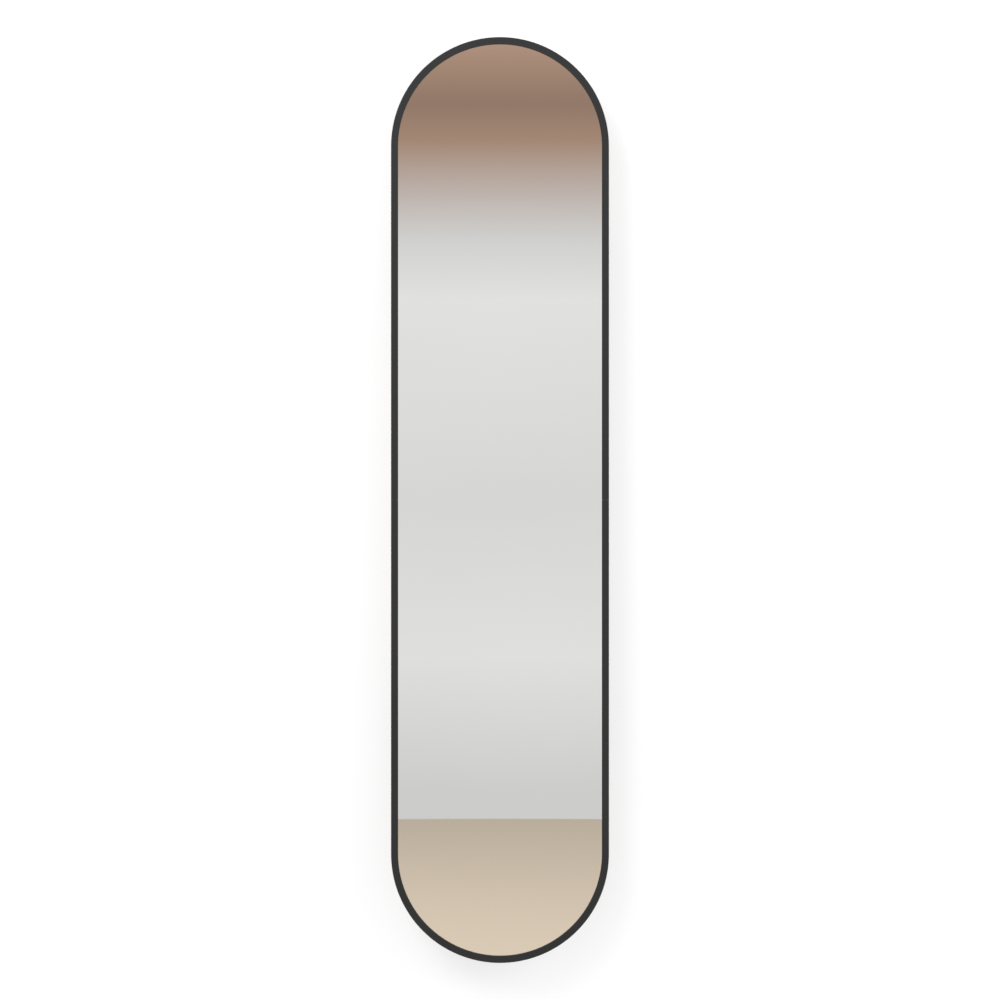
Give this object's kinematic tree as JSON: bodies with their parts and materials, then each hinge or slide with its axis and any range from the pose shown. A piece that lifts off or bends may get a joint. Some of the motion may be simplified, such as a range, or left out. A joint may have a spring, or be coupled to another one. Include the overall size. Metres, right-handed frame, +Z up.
{
  "type": "pull-out closet mirror",
  "caption": "Slim pill-shaped mirror in a charcoal frame, stored flat on a closet side panel, pulled out on ball-bearing slides and swung open on two pivots.",
  "frame": {"origin": "centre of the four panel screw holes, in the plane of the closet's side panel", "axes": "+Z up, +X the way the mirror pulls out to the closet's front, -Y the way the stored mirror faces, +Y into the side panel"},
  "size_m": [0.33, 0.062, 1.402],
  "materials": {
    "slide_steel": "zinc-plated, rolled",
    "cage_steel": "zinc-plated strip",
    "ball_steel": "polished",
    "black_rubber": "matt moulded rubber",
    "painted_steel": "charcoal powder coat",
    "black_plastic": "moulded, matt",
    "painted_casting": "charcoal powder coat on a die casting",
    "bright_fastener": "zinc-plated",
    "bush_plastic": "natural acetal",
    "charcoal_frame": "charcoal powder coat, satin",
    "plain_aluminium": "mill finish",
    "seal_rubber": "closed-cell, matt",
    "silvered_glass": "silvered float glass",
    "film_plastic": "woven safety backing film",
    "fibre_board": "hard fibre board"
  },
  "bodies": {
    "closet_side": {"upper_outer_member": "slide_steel", "lower_outer_member": "slide_steel", "upper_rear_bumper": "black_rubber", "lower_rear_bumper": "black_rubber"},
    "upper_middle_slide": {"upper_middle_member": "slide_steel"},
    "lower_middle_slide": {"lower_middle_member": "slide_steel"},
    "upper_outer_retainer": {"upper_outer_cage": "cage_steel", "upper_outer_balls": "ball_steel"},
    "lower_outer_retainer": {"lower_outer_cage": "cage_steel", "lower_outer_balls": "ball_steel"},
    "upper_inner_retainer": {"upper_inner_cage": "cage_steel", "upper_inner_balls": "ball_steel"},
    "lower_inner_retainer": {"lower_inner_cage": "cage_steel", "lower_inner_balls": "ball_steel"},
    "carriage": {"upper_inner_member": "slide_steel", "lower_inner_member": "slide_steel", "upright": "painted_steel", "upper_upright_cap": "black_plastic", "lower_upright_cap": "black_plastic", "upper_pivot_block": "painted_casting", "lower_pivot_block": "painted_casting", "slide_screws": "bright_fastener", "pivot_block_screws": "bright_fastener", "pivot_bushes": "bush_plastic", "stop_tips": "black_rubber"},
    "mirror": {"upper_frame_half": "charcoal_frame", "lower_frame_half": "charcoal_frame", "left_splice_key": "plain_aluminium", "right_splice_key": "plain_aluminium", "glass_seal": "seal_rubber", "mirror_glass": "silvered_glass", "safety_film": "film_plastic", "backing_board": "fibre_board", "upper_crossbar": "painted_steel", "lower_crossbar": "painted_steel", "crossbar_screws": "bright_fastener", "parking_buffers": "black_rubber", "pivot_pins": "bright_fastener", "pivot_nuts": "bright_fastener"}
  },
  "joints": [
    {"name": "pull_out", "type": "slide", "parent": "closet_side", "child": "carriage", "axis": [1, 0, 0], "range_m": [0, 0.3]},
    {"name": "upper_middle_slide_follow", "type": "slide", "parent": "closet_side", "child": "upper_middle_slide", "axis": [1, 0, 0], "range_m": [0, 0.15]},
    {"name": "upper_outer_retainer_follow", "type": "slide", "parent": "closet_side", "child": "upper_outer_retainer", "axis": [1, 0, 0], "range_m": [0, 0.075]},
    {"name": "upper_inner_retainer_follow", "type": "slide", "parent": "closet_side", "child": "upper_inner_retainer", "axis": [1, 0, 0], "range_m": [0, 0.225]},
    {"name": "lower_middle_slide_follow", "type": "slide", "parent": "closet_side", "child": "lower_middle_slide", "axis": [1, 0, 0], "range_m": [0, 0.15]},
    {"name": "lower_outer_retainer_follow", "type": "slide", "parent": "closet_side", "child": "lower_outer_retainer", "axis": [1, 0, 0], "range_m": [0, 0.075]},
    {"name": "lower_inner_retainer_follow", "type": "slide", "parent": "closet_side", "child": "lower_inner_retainer", "axis": [1, 0, 0], "range_m": [0, 0.225]},
    {"name": "swivel", "type": "hinge", "parent": "carriage", "child": "mirror", "pos_m": [0.142, -0.028, 0], "axis": [0, 0, 1], "range_deg": [0, 90]}
  ],
  "couplings": [
    {"joint": "upper_middle_slide_follow", "follows": "pull_out", "ratio": 0.5},
    {"joint": "upper_outer_retainer_follow", "follows": "pull_out", "ratio": 0.25},
    {"joint": "upper_inner_retainer_follow", "follows": "pull_out", "ratio": 0.75},
    {"joint": "lower_middle_slide_follow", "follows": "pull_out", "ratio": 0.5},
    {"joint": "lower_outer_retainer_follow", "follows": "pull_out", "ratio": 0.25},
    {"joint": "lower_inner_retainer_follow", "follows": "pull_out", "ratio": 0.75}
  ]
}
